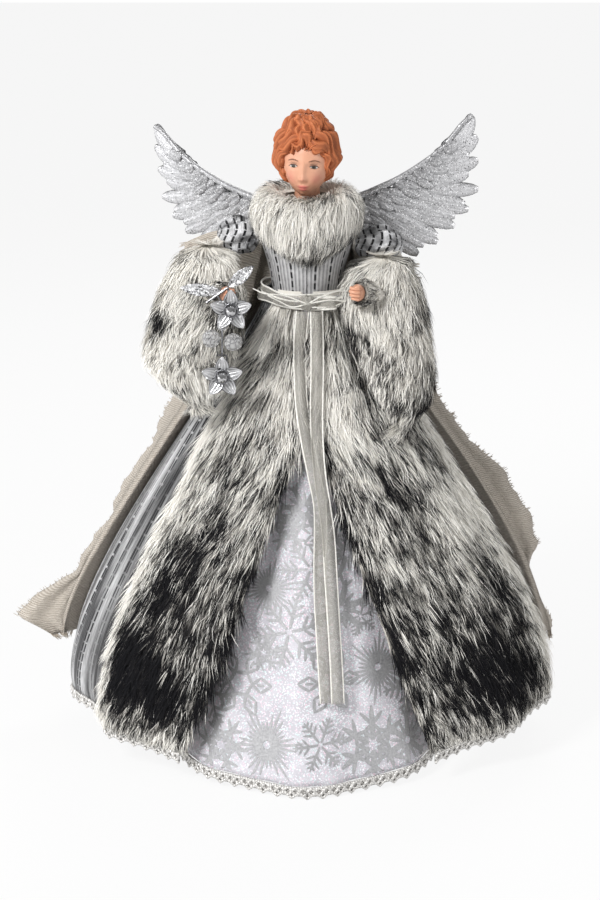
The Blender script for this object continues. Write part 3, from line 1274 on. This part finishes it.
def sash():
    sheer, edges = Parts(), Parts()
    turn = np.linspace(0, 2 * PI, 100)
    for level, offset in ((0.25, 2.9), (0.75, 3.1)):
        upper, lower = COAT.point(turn, 0.0, offset), COAT.point(turn, 0.2, offset)
        down = upper[:, 2] - (WAIST - GAP - RIBBON * level)
        path = lerp(upper, lower, (down / (upper[:, 2] - lower[:, 2]))[:, None])
        path[:, 2] += 0.7 * np.sin(3 * turn + 4 * level) - 1.2 + 3.6 * eased(1 - np.cos(turn), 0.0, 0.5)
        ribbon(sheer, edges, path, UPRIGHT, RIBBON * 0.55)
    knot, ends = Parts(), Parts()
    up, around = crossed(steps(24, -1.5, 1.5), turns(48))
    wrinkle = 1 + 0.12 * np.sin(7 * around + 3 * np.sin(2 * up)) + 0.08 * np.cos(5 * up + around)
    ball = columns(np.cos(up) * np.sin(around), -np.cos(up) * np.cos(around), np.sin(up)) * wrinkle[..., None]
    knot.add(ball * KNOT_HALF + KNOT, grid_faces(24, 48, True))
    for bends in LOOSE_ENDS:
        path = curve_through(np.array(bends, float) * [1, 0.8, 1] + KNOT + [0, -3.5, 0], 30)
        ends.add(*sweep(path, 0.4, 6))
    tied = place_ribbon("ribbon_knot", knot, ends, "sash_knot", 0.3)
    loop, loop_edges = Parts(), Parts()
    turn = np.linspace(0, 2 * PI, 30)
    ring = KNOT + columns(6.3 + 5.5 * (1 - np.cos(turn)), 2.1 * np.sin(turn), 0)
    ribbon(loop, loop_edges, ring, UPRIGHT, RIBBON - 1)
    tied += place_ribbon("ribbon_loop", loop, loop_edges, "sash_loop")
    band, trim = place_ribbon("waist_ribbon", sheer, edges, "sash_band")
    for name, phase in (("left", 0), ("right", 2)):
        path = tail_path(name)
        lean = 0.35 * np.sin(np.linspace(0, 7, len(path)) + phase)
        sheer, edges = Parts(), Parts()
        ribbon(sheer, edges, path, columns(np.cos(lean), np.sin(lean), 0), RIBBON - 0.6, TAIL_CURL)
        tail, trim = place_ribbon(
            f"ribbon_tail_{name}", sheer, edges, f"sash_tail_{name}", edge_name=f"ribbon_tail_edge_{name}"
        )


# Wings

WING_SIZE = np.array([98.5, 60])
WING_ROOT = (10, 28.3, TORSO_TOP - 11)
WING_TURNS = {-1: (32, 6, -5), 1: (4, 0, 2)}  # back, lean and roll, in degrees
LEAD_SHARES = [
    [0.0, 0.09], [0.1, 0.12], [0.2, 0.2], [0.33, 0.28], [0.49, 0.39], [0.65, 0.54], [0.78, 0.7], [0.9, 0.92],
]
TIP_SHARES = [
    [0.97, 1], [0.995, 0.82], [1, 0.63], [0.995, 0.42], [0.99, 0.17], [0.93, 0.02],
    [0.86, -0.11], [0.77, -0.25], [0.68, -0.35], [0.57, -0.44], [0.45, -0.48],
]
COVERTS = ((0.68, 13, 9.5, 0.9, 0.3), (0.47, 11, 9, 1.6, 0.18), (0.29, 9, 8.5, 2.2, 0.12))
VANE_SHARES = steps(10, -1, 1)
VANE = (
    1.3 * np.sqrt(1 - VANE_SHARES**2) + 0.22 * np.cos(4 * PI * VANE_SHARES) * (np.abs(VANE_SHARES) < 0.9)
    + 0.5 * peak(VANE_SHARES, 0, 0.12)
)


def feather(parts, base, tip, width, lift, tone, bend=0.0, rows=14):
    """A lens-shaped vane with a quill and grooves along it, in the wing's own plane; lift is its depth there."""
    base, tip = np.asarray(base, float), np.asarray(tip, float)
    along = tip - base
    side = np.array([-along[1], along[0]]) / np.linalg.norm(along)
    t = steps(rows)
    middle = base + along * t[:, None] + side * (bend * np.sin(PI * t))[:, None]
    half = width / 2 * np.clip(np.sqrt(np.clip(1 - ((t - 0.5) / 0.51) ** 2, 0, 1)), 0.1, 1) ** 0.7
    flat = middle[:, None] + side * (half[:, None] * VANE_SHARES)[..., None]
    thick = VANE * np.sqrt(half / half.max())[:, None]
    layers = [np.concatenate([flat, depth[..., None]], -1) for depth in (lift + thick, lift - 0.4 - 0.3 * thick)]
    count = thick.size
    faces = [grid_faces(rows, 10, flip=True), grid_faces(rows, 10, start=count)]
    low, high = 11 * np.arange(rows + 1), np.arange(11)
    for edge, flip in ((low, False), (low + 10, True), (high, True), (11 * rows + high, False)):
        quad = np.stack([edge[:-1], edge[1:], edge[1:] + count, edge[:-1] + count], -1)
        faces.append(quad[:, ::-1] if flip else quad)
    rise = tone + 0.25 * np.tile(np.repeat(t, 11), 2)
    parts.add(np.stack(layers), faces, columns(np.tile(VANE_SHARES, 2 * (rows + 1)), rise))


def wing_local():
    """One wing's feathers in its own plane: x along the span, y up it, z towards the viewer."""
    lead = curve_through(np.array(LEAD_SHARES + TIP_SHARES[:1]) * WING_SIZE, 80)
    tips = curve_through(np.array(TIP_SHARES) * WING_SIZE, 41)
    parts = Parts()
    for front in (True, False):

        def level(lift):
            return lift if front else -0.5 * lift - 1.2

        for i, share in enumerate(np.linspace(0, 1, 17)):
            tip = tips[round(share * 40)] * (0.94 if i % 2 else 1)
            bone = lerp(lead[round(lerp(60, 4, share))] * np.array([0.95, 0.9]), tip, 0.1)
            feather(parts, bone, tip, 10.5, level(0.2 + 0.3 * (i % 2)), 0.7 - 0.45 * share, -4 + 6 * share)
        for reach, count, width, lift, tone in COVERTS:
            for i in range(count):
                share = lerp(0.13, 1, i / (count - 1))
                bone = lead[round(lerp(66, 3, share))]
                end = lerp(bone, tips[round(share * 40)], reach + 0.03 * ((i * 7) % 3 - 1))
                shade = tone + 0.25 * (1 - share)
                feather(parts, lerp(bone, end, 0.1), end, width, level(lift), shade, -1.5 + 3 * share)
        for row, (inset, size, lift) in enumerate(((0.17, 6.5, 2.5), (0.1, 5.5, 2.7))):
            for i in range(8 if front else 0):
                at = (i + 0.5 * row) / 13
                bone, tip = lead[round(lerp(2, 76, at))], tips[round((1 - at) * 40)]
                start = lerp(bone, tip, inset - 0.03)
                feather(parts, start, start + unit(tip - bone) * size * 1.9, size, lift, 0.3, rows=6)
    rim = np.column_stack([lead, np.full(len(lead), 0.8)])
    points, faces, _ = sweep(rim, 2.7 - 1.3 * np.linspace(0, 1, len(rim)), 10)
    parts.add(points, faces, columns(np.zeros(len(points)), 0.5))
    root = curve_through([[-9.5, 2, 0.6], [-4, 0, 1.0], [4, -1, 1.2], [14, 2, 0.8]], 12)
    sizes = [9, 9.5, 10, 10.3, 10.4, 10.4, 10, 9.6, 9, 8.3, 7.5, 6.5]
    points, faces, _ = sweep(root, sizes, 14, squash=0.24)
    parts.add(points, faces, columns(np.zeros(len(points)), 0.3))
    return parts


def wings():
    for side, name in ((-1, "left"), (1, "right")):
        parts = wing_local()
        x, y, z = parts.all_points().T
        camber = -0.0012 * x**2 + 1.5 * np.sin(x / 30)
        back, lean, roll = (math.radians(angle) for angle in WING_TURNS[side])
        turn = Matrix.Rotation(back, 3, "Z") @ Matrix.Rotation(-roll, 3, "Y") @ Matrix.Rotation(lean, 3, "X")
        points = columns(x, -z - camber * 0.3, y) @ np.array(turn).T + np.array(WING_ROOT)
        points[:, 0] *= side
        faces = [f[:, ::-1] if side < 0 else f for f in parts.faces]
        uv = np.concatenate(parts.uv)
        build(f"wing_feathers_{name}", points, faces, uv, FIGURE, "silver_plastic", WING_SILVER, f"wing_{name}")


# Head and hair

HEAD_HALF = np.array([15.5, 17, 20])
HEAD_MIDDLE = (0, -7, TORSO_TOP + 32)
HEAD_TURN = np.array(
    Matrix.Rotation(math.radians(-8), 3, "Z")
    @ Matrix.Rotation(math.radians(3), 3, "Y")
    @ Matrix.Rotation(math.radians(10), 3, "X")
)
NECK = ((0.6, 8.0), (6, 7.6), (14, 7.8), (26, 8))  # height over the torso, and radius
SKIN_TONE = np.array([0.66, 0.345, 0.225])
BLUSH = np.array([0.68, 0.22, 0.17])
LIP = np.array([0.62, 0.15, 0.14])


def to_head(points):
    """From the head's own frame to the doll's."""
    return np.asarray(points) @ HEAD_TURN.T + np.array(HEAD_MIDDLE)


def spot(x, z, at_x, at_z, width, height):
    return np.exp(-(((x - at_x) / width) ** 2) - ((z - at_z) / height) ** 2)


def face_relief(x, z):
    """How far the face stands out, in shares of the head's half depth."""
    ax = np.abs(x)
    return sum(amount * spot(at, z, *where) for amount, at, where in (
        (0.09, x, (0, -0.12, 0.09, 0.24)), (0.13, x, (0, -0.33, 0.11, 0.085)),  # nose
        (0.05, ax, (0.12, -0.36, 0.055, 0.05)), (0.035, ax, (0.36, 0.16, 0.3, 0.08)),  # nostrils, brows
        (-0.1, ax, (0.4, 0.01, 0.2, 0.1)), (0.06, ax, (0.4, 0.0, 0.15, 0.06)),  # sockets, lids
        (0.045, ax, (0.5, -0.36, 0.24, 0.2)),  # cheeks
        (0.065, x, (0, -0.565, 0.2, 0.045)), (0.07, x, (0, -0.655, 0.17, 0.045)),  # lips
        (-0.04, x, (0, -0.61, 0.2, 0.018)), (0.07, x, (0, -0.86, 0.24, 0.1)),  # line between them, chin
    ))


def head_point(x, y, z):
    jaw = np.where(z < 0, 1 - 0.3 * np.abs(z) ** 1.8, 1)
    front = np.clip(-y, 0, 1) ** 1.5
    depth = y * np.where(z < 0, 1 + np.where(y < 0, 0.42, -0.12) * z * z, 1) - front * face_relief(x, z)
    return columns(x * jaw * HEAD_HALF[0], depth * HEAD_HALF[1], np.where(z < 0, 1.13, 1) * z * HEAD_HALF[2])


def on_face(flat, lift):
    """Points on the face, from shares of the head's half width and height."""
    y = -np.sqrt(np.clip(1 - flat[:, 0] ** 2 - flat[:, 1] ** 2, 0, 1))
    return head_point(flat[:, 0], y, flat[:, 1]) - np.array([0, lift, 0])


def face_patch(outline, lift):
    """A flat painted shape laid on the face."""
    middle = outline.mean(0)
    flat = np.concatenate([lerp(middle, outline, share) for share in (0.02, 0.5, 1.0)])
    return on_face(flat, lift), grid_faces(2, len(outline), True, flip=True)


def head():
    rows, across = 96, 120
    polar, angle = crossed(steps(rows, 0.03, PI - 0.03), turns(across))
    x, y, z = np.sin(polar) * np.sin(angle), -np.sin(polar) * np.cos(angle), np.cos(polar)
    front = np.clip(-y, 0, 1)[..., None]

    def share(value):
        return value[..., None] * front

    blush = 0.7 * spot(np.abs(x), z, 0.55, -0.36, 0.2, 0.16) + 0.2 * spot(x, z, 0, -0.33, 0.1, 0.08)
    lips = 2.0 * (spot(x, z, 0, -0.565, 0.26, 0.045) + spot(x, z, 0, -0.655, 0.21, 0.055)) - 0.5
    hollow = 0.3 * spot(np.abs(x), z, 0.4, 0.05, 0.19, 0.06) + 0.6 * spot(x, z, 0, -0.61, 0.17, 0.014)
    colours = SKIN_TONE + (BLUSH - SKIN_TONE) * share(blush)
    colours = colours + (LIP - colours) * share(np.clip(lips, 0, 1))
    colours = (colours * (1 - share(hollow) * 0.6)).reshape(-1, 3)
    parts = Parts()
    parts.add(to_head(head_point(x, y, z).reshape(-1, 3)), grid_faces(rows, across, True, flip=True))
    turn = turns(32)
    neck = [columns(radius * np.sin(turn), -radius * np.cos(turn), TORSO_TOP + up) for up, radius in NECK]
    parts.add(np.concatenate(neck), grid_faces(3, 32, True))
    mesh = parts.mesh("doll_head")
    colour_points(mesh, np.concatenate([colours, np.tile(SKIN_TONE * 0.85, (32 * len(NECK), 1))]))
    place("doll_head", mesh, FIGURE, "skin_paint", SKIN, "head")
    painted_features()


def painted_features():
    """Eyes, brows and lashes, painted on as on any doll: whites, irises, pupils and fine dark lines."""
    whites, irises, pupils, lines, brows = (Parts() for _ in range(5))
    turn = turns(20)
    up, aside = np.sin(turn), np.cos(turn)
    for side in (-1, 1):
        cx, cz = side * 0.4, -0.01
        almond = columns(cx + 0.15 * aside, cz + np.where(up > 0, 0.032, 0.042) * up - side * 0.018 * aside)
        whites.add(*face_patch(almond, 0.12))
        irises.add(*face_patch(columns(cx + 0.085 * aside, cz - 0.006 + np.clip(0.072 * up, -0.038, 0.034)), 0.2))
        pupils.add(*face_patch(columns(cx + 0.042 * aside, cz - 0.004 + 0.03 * up), 0.27))
        for parts, knots, radius in (
            (lines, [(-0.17, -0.01), (-0.08, 0.03), (0.02, 0.04), (0.1, 0.03), (0.19, -0.006)], 0.5),
            (lines, [(-0.13, -0.03), (0.0, -0.052), (0.13, -0.03)], 0.14),
            (lines, [(-0.14, 0.06), (0.0, 0.088), (0.14, 0.062)], 0.12),
            (brows, [(-0.2, 0.15), (-0.06, 0.195), (0.08, 0.205), (0.22, 0.16)], 0.58),
        ):
            flat = curve_through([(cx + side * dx, cz + dz - 0.12 * dx) for dx, dz in knots], 12)
            thick = radius * np.sin(PI * np.linspace(0.08, 0.92, 12)) ** 0.5
            parts.add(*sweep(on_face(flat, 0.1), thick, 6, squash=0.6))
    for name, parts, dark, light, rough in (
        ("eye_whites", whites, (0.56, 0.52, 0.48), (0.64, 0.6, 0.57), 0.4),
        ("eye_irises", irises, (0.06, 0.045, 0.03), (0.14, 0.1, 0.065), 0.3),
        ("eye_pupils", pupils, (0.008, 0.008, 0.008), (0.015, 0.015, 0.015), 0.15),
        ("eye_lines", lines, (0.05, 0.025, 0.02), (0.09, 0.05, 0.04), 0.5),
        ("eyebrows", brows, (0.17, 0.07, 0.035), (0.26, 0.12, 0.07), 0.6),
    ):
        parts.move(to_head)
        parts.place(name, FIGURE, "skin_paint", plain_material(name, dark, light, 500, rough, 0.02))


HAIR_HALF = np.array([24, 23.4, 27])
HAIR_MIDDLE = np.array([-0.8, 2, 3.4])
GINGER_LIGHT = np.array([0.56, 0.185, 0.075])
GINGER_DARK = np.array([0.2, 0.05, 0.02])
LOCKS = [
    # start and end as degrees round and up, half width and height in millimetres
    *(((i * 36, 78), (i * 36 + 26, 22), 6.4, 3.2) for i in range(2, 9)),
    *(((i * 30 + 15, 82), (i * 34 + 8, 40), 6.0, 3.0) for i in range(12)),
    *(((i * 17 + 5, 30), (i * 40 + 10, 74), 5.4, 2.8) for i in (-2, -1, 0, 1, 2)),
    *(((side * start, 50 - k * 4), (side * (66 + 15 * k), -8 - 4 * (k % 2)), 5.2, 3.0)
      for side in (-1, 1) for k, start in enumerate((24, 44, 66, 88, 112, 136, 160))),
    *(((side * (62 + 15 * k), 20 - 3 * (k % 3)), (side * (64 + 16 * k), -34), 4.8, 2.8)
      for side in (-1, 1) for k in range(8)),
    *(((side * (60 + 16 * k), -8), (side * (54 + 17 * k), -58 + 4 * (k % 2)), 4.0, 2.4)
      for side in (-1, 1) for k in range(8)),
    ((2, 34), (-56, 6), 4.6, 3.6), ((2, 36), (58, 4), 5.0, 3.8), ((0, 27), (-40, 10), 3.4, 3.0),
    ((6, 28), (46, 8), 3.8, 3.2), ((-6, 24), (-30, 10), 2.4, 2.6), ((8, 25), (34, 12), 2.6, 2.8),
    ((-34, 18), (-56, -18), 3.6, 2.6), ((38, 18), (57, -20), 3.8, 2.6), ((-50, 2), (-51, -38), 3.0, 2.0),
    ((52, 0), (50, -42), 3.2, 2.0), ((-2, 24), (-15, 15), 2.0, 2.4), ((50, -20), (43, -52), 2.6, 1.8),
    ((-50, -18), (-42, -50), 2.6, 1.8), ((4, 25), (12, 17), 1.8, 2.2),
    ((-14, 46), (16, 20), 5.5, 4.2), ((16, 44), (-14, 21), 4.5, 4.6),
]


APART = np.array([0, 0, 0.0005])  # keeps a lock's two ends from falling on one point


def toward(around, up):
    """A direction: degrees from the face towards +X, and degrees up from level."""
    around, up = np.radians(around), np.radians(up)
    return columns(np.cos(up) * np.sin(around), -np.cos(up) * np.cos(around), np.sin(up))


def on_scalp(way, lift):
    rise = way[..., 2]
    shape = lerp(1, 0.84, (1 + rise) / 2) * (1 - 0.16 * eased(-rise, 0.1, 0.8))
    return way * (HAIR_HALF * columns(shape, shape, 1.0) + lift[..., None]) + HAIR_MIDDLE


def hair():
    """Overlapping moulded locks: each lies along the scalp and sinks into it at its edges."""
    draw = np.random.default_rng(3)
    parts, tones = Parts(), []
    t, s = crossed(steps(24), steps(14, -1))
    taper = 0.3 + 0.7 * np.sin(PI * (0.06 + 0.88 * t)) ** 0.7
    round_off = (1 - s * s) ** 0.6
    for start, end, width, high in LOCKS:
        first, last = toward(*start), toward(*end) + APART
        opening = math.acos(np.clip(first @ last, -1, 1))
        along = t[..., None]
        way = (first * np.sin((1 - along) * opening) + last * np.sin(along * opening)) / math.sin(opening)
        phase = draw.uniform(0, 2 * PI)
        swing = 2.2 * np.sin(2 * PI * 1.3 * t + phase) * np.sin(PI * t) ** 0.5
        way = unit(way + unit(np.cross(first, last)) * ((swing + width * taper * s) / 25)[..., None])
        groove = np.cos(PI * (2.4 * s + 1.2 * t) + phase)
        wave = 0.7 * np.sin(2 * PI * 1.6 * t + phase)
        lift = -6.2 + (high + 2.4) * round_off * taper + 0.4 * groove * round_off + wave * round_off
        parts.add(on_scalp(way, lift), grid_faces(24, 14))
        light = np.clip(0.1 + 0.62 * round_off + 0.28 * groove * round_off, 0, 1).reshape(-1, 1)
        tones.append((GINGER_DARK + (GINGER_LIGHT - GINGER_DARK) * light) * draw.uniform(0.88, 1.08))
    up, around = crossed(steps(50, 89, -60), steps(90, -180, 180))
    quads = grid_faces(50, 90, flip=True)
    face = (np.abs(around) < 54) & (up < 22)
    parts.add(on_scalp(toward(around, up), np.full(up.shape, -5.4)), quads[~face.ravel()[quads].all(1)])
    tones.append(np.tile(GINGER_DARK, (up.size, 1)))
    parts.move(to_head)
    mesh = parts.mesh("hair_curls")
    colour_points(mesh, np.concatenate(tones))
    place("hair_curls", mesh, FIGURE, "ginger_paint", GINGER, "hair")


# Hands and stuffed pieces

FINGERS = ((0.92, 1.18), (1.02, 1.25), (0.94, 1.15), (0.74, 0.98))  # reach and thickness, first to little one


def hands():
    rows, across = 20, 28
    polar, angle = crossed(steps(rows, 0.05, PI - 0.05), turns(across))
    palm = columns(4.3 * np.sin(polar) * np.sin(angle), -4.4 * np.sin(polar) * np.cos(angle), 5.2 * np.cos(polar))
    curl = np.linspace(-0.4, 2.5, 12)
    taper = np.interp(np.arange(12), (0, 8, 11), (1, 0.9, 0.45))
    for side, name, body in ARMS:
        parts = Parts()
        middle = np.array(HANDS[side], float)
        parts.add(palm + middle, grid_faces(rows, across, True, flip=True))
        for finger, (reach, thick) in enumerate(FINGERS):
            level = 3.1 - 2.1 * finger + 0.5 * reach * np.sin(curl)
            path = columns(-side * (0.4 + 4.0 * reach * np.sin(curl)), -1.9 - 3.1 * reach * np.cos(curl - 0.4), level)
            parts.add(*sweep(path + middle, thick * taper, 8)[:2])
        thumb = curve_through([[side * 2.0, -1.5, 3.0], [side * 0.5, -4.2, 4.4], [-side * 1.8, -4.8, 3.6]], 8)
        parts.add(*sweep(thumb + middle, 1.25 - 0.05 * np.arange(8), 8)[:2])
        mesh = parts.mesh(f"doll_hand_{name}")
        shade = 0.82 + 0.18 * eased(middle[1] - parts.all_points()[:, 1], -2, 5)
        colour_points(mesh, SKIN_TONE * shade[:, None])
        place(f"doll_hand_{name}", mesh, body, "skin_paint", SKIN, f"hand_{name}")


def soft_copies():
    """The stuffed pieces inside the dress: smooth copies of their solids."""
    for node, body in (("torso", FIGURE), ("arm_left", LEFT_ARM), ("arm_right", RIGHT_ARM)):
        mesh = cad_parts[node].data.copy()
        mesh.name = f"{node}_stuffed"
        mesh.materials.clear()
        mesh.polygons.foreach_set("use_smooth", np.ones(len(mesh.polygons), bool))
        place(f"{node}_stuffed", mesh, body, "stuffed_cloth", CLOTH, node)


# Sprig and garland

FLOWERS = (("upper", LEFT_ARM, (-45, -68, 289)), ("lower", LOWER_FLOWER, (-50.5, -66.5, 248.5)))
PETALS = 5
FLOWER_RADIUS = 12.5
STEM_MIDDLE = np.array([-53.5, -58.4, 296.0])
STEM_END = np.array([-47.23, -58.4, 300.56])


def flowers():
    rows, across = 14, 20
    t, s = crossed(steps(rows), steps(across, -1))
    along = 1.4 + (FLOWER_RADIUS - 1.4) * t
    aside = 5.0 * np.sin(PI * np.clip(0.1 + 0.88 * t, 0, 1)) ** 0.75 * (1 - 0.25 * t) * s
    veins = 0.3 * np.cos(5 * PI * s) * np.sin(PI * t)
    depth = 2.6 * (along / FLOWER_RADIUS) ** 2 + 1.7 * s * s * np.sin(PI * t) + veins
    tone = 0.2 + 0.5 * t + 0.25 * np.cos(5 * PI * s)
    round_it = np.linspace(0, 2 * PI, 40)
    for name, body, middle in FLOWERS:
        parts = Parts()
        for turn in turns(PETALS):
            x = along * np.sin(turn) + aside * np.cos(turn)
            z = along * np.cos(turn) - aside * np.sin(turn)
            parts.add(columns(x, -depth, z) + middle, grid_faces(rows, across), columns(s, tone))
        petals = parts.place(f"flower_petals_{name}", body, "silver_plastic", FLOWER_SILVER, f"flower_{name}")
        thicken(petals, 0.5, 0)
        ring = columns(4.0 * np.sin(round_it), -1.2, 4.0 * np.cos(round_it)) + middle
        build(f"flower_ring_{name}", *sweep(ring, 0.55, 6), body, "metallic_pearl", STEEL)


def glitter_leaves():
    rows, across = 16, 8
    t, s = crossed(steps(rows, 0.02), steps(across, -1))
    half = 4.2 * np.sin(PI * np.clip(t, 0, 0.995)) ** 0.8 * (1 - 0.14 * np.abs(np.sin(5 * PI * t))) * s
    depth = 0.9 * np.abs(s) + 1.2 * np.sin(PI * t) - 1.0
    for name, base, length, tilt in (
        ("right", STEM_END, 20, math.radians(40)),
        ("left", lerp(STEM_MIDDLE, STEM_END, 0.5), 25, math.radians(175)),
    ):
        x = length * t * math.cos(tilt) - half * math.sin(tilt)
        z = length * t * math.sin(tilt) + half * math.cos(tilt)
        leaf = build(
            f"sparkle_leaf_{name}", columns(x, -depth, z) + base, grid_faces(rows, across),
            columns(s, 0.3 + 0.5 * np.abs(s)), LEFT_ARM, "silver_plastic", LEAF_GLITTER, f"glitter_leaf_{name}",
        )
        thicken(leaf, 0.4, 0)


def dress_solids():
    """The solids that stay get their materials."""
    for material, nodes in (
        (CARD, ["tree_cone"]),
        (WOOD, ["cone_plug", "spine_dowel", "wing_bracket"]),
        (STEEL, ["shoulder_wire", "wing_screw_left", "wing_screw_right", "garland_wire", "lower_flower_wire"]),
        (FLOWER_SILVER, ["sprig_stem"]),
        (PEARL, ["pearl_upper", "pearl_lower"]),
        (ICE, ["ice_bead_left", "ice_bead_right", "ice_bead_top"]),
    ):
        for node in nodes:
            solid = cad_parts[node]
            solid.data.materials.clear()
            solid.data.materials.append(material)


# Stage, light and camera

FLOOR_HALF = 6000


def add(name, data):
    thing = bpy.data.objects.new(name, data)
    bpy.context.scene.collection.objects.link(thing)
    return thing


def camera():
    data = bpy.data.cameras.new("camera")
    data.lens = CAMERA_LENS
    data.clip_end = 20
    eye = add("camera", data)
    back = Vector((0, -math.cos(CAMERA_ELEVATION), math.sin(CAMERA_ELEVATION)))
    eye.location = (Vector(CAMERA_TARGET) + back * CAMERA_DISTANCE) * MM
    eye.rotation_euler = back.to_track_quat("Z", "Y").to_euler()
    bpy.context.scene.camera = eye


def stage():
    """A white floor and backdrop; what the camera and reflections see of them stays white in the shadows too."""
    corners = np.array([[-1, -1, 0], [1, -1, 0], [1, 1, 0], [-1, 1, 0]]) * FLOOR_HALF
    mesh = make_mesh("floor", corners, np.array([[0, 1, 2, 3]]))
    floor = Shader("floor", Roughness=1, Base_Color=(0.8, 0.8, 0.8))
    path = floor.node("LightPath").outputs
    seen = floor.math("MAXIMUM", path["Is Camera Ray"], path["Is Glossy Ray"])
    seen = floor.math("MAXIMUM", seen, path["Is Transmission Ray"])
    glow = floor.value("Emission", (1, 1, 1))
    mixed = floor.value("MixShader", seen * 0.9, floor.surface.outputs[0], glow)
    floor.feed(floor.tree.nodes["Material Output"].inputs[0], mixed)
    mesh.materials.append(floor.material)
    add("floor", mesh)
    world = bpy.data.worlds.new("studio")
    bpy.context.scene.world = world
    world.use_nodes = True
    studio = Tree(world.node_tree)
    backdrop = world.node_tree.nodes["Background"].inputs
    path = studio.node("LightPath").outputs
    seen = studio.math("MAXIMUM", path["Is Camera Ray"], path["Is Transmission Ray"])
    studio.feed(backdrop["Color"], (1, 1, 1))
    studio.feed(backdrop["Strength"], seen.scaled(0.76, 0.24))


def lights():
    for name, at, size, watts in (
        ("key", (-800, -1080, 1150), 420, 23),
        ("fill", (1100, -900, 500), 900, 5),
        ("rim", (300, 1100, 1100), 700, 9),
        ("side", (-1200, -350, 350), 800, 4),
    ):
        data = bpy.data.lights.new(name, "AREA")
        data.shape = "DISK"
        data.size = size * MM
        data.energy = watts
        light = add(name, data)
        light.location = Vector(at) * MM
        light.rotation_euler = (Vector(at) - Vector((0, 0, 200))).to_track_quat("Z", "Y").to_euler()


bpy.context.scene.view_settings.view_transform = "Standard"
for make in (
    camera, stage, lights, dress_solids, soft_copies, head, hair, hands, bodice, shoulder_puffs,
    fur_collar, fur_sleeves, fur_cuffs, snowflake_print, hem_braids, inner_skirt, coat_skirt, fur_panels,
    cape_fray, cape, sash, wings, flowers, glitter_leaves,
):
    make()
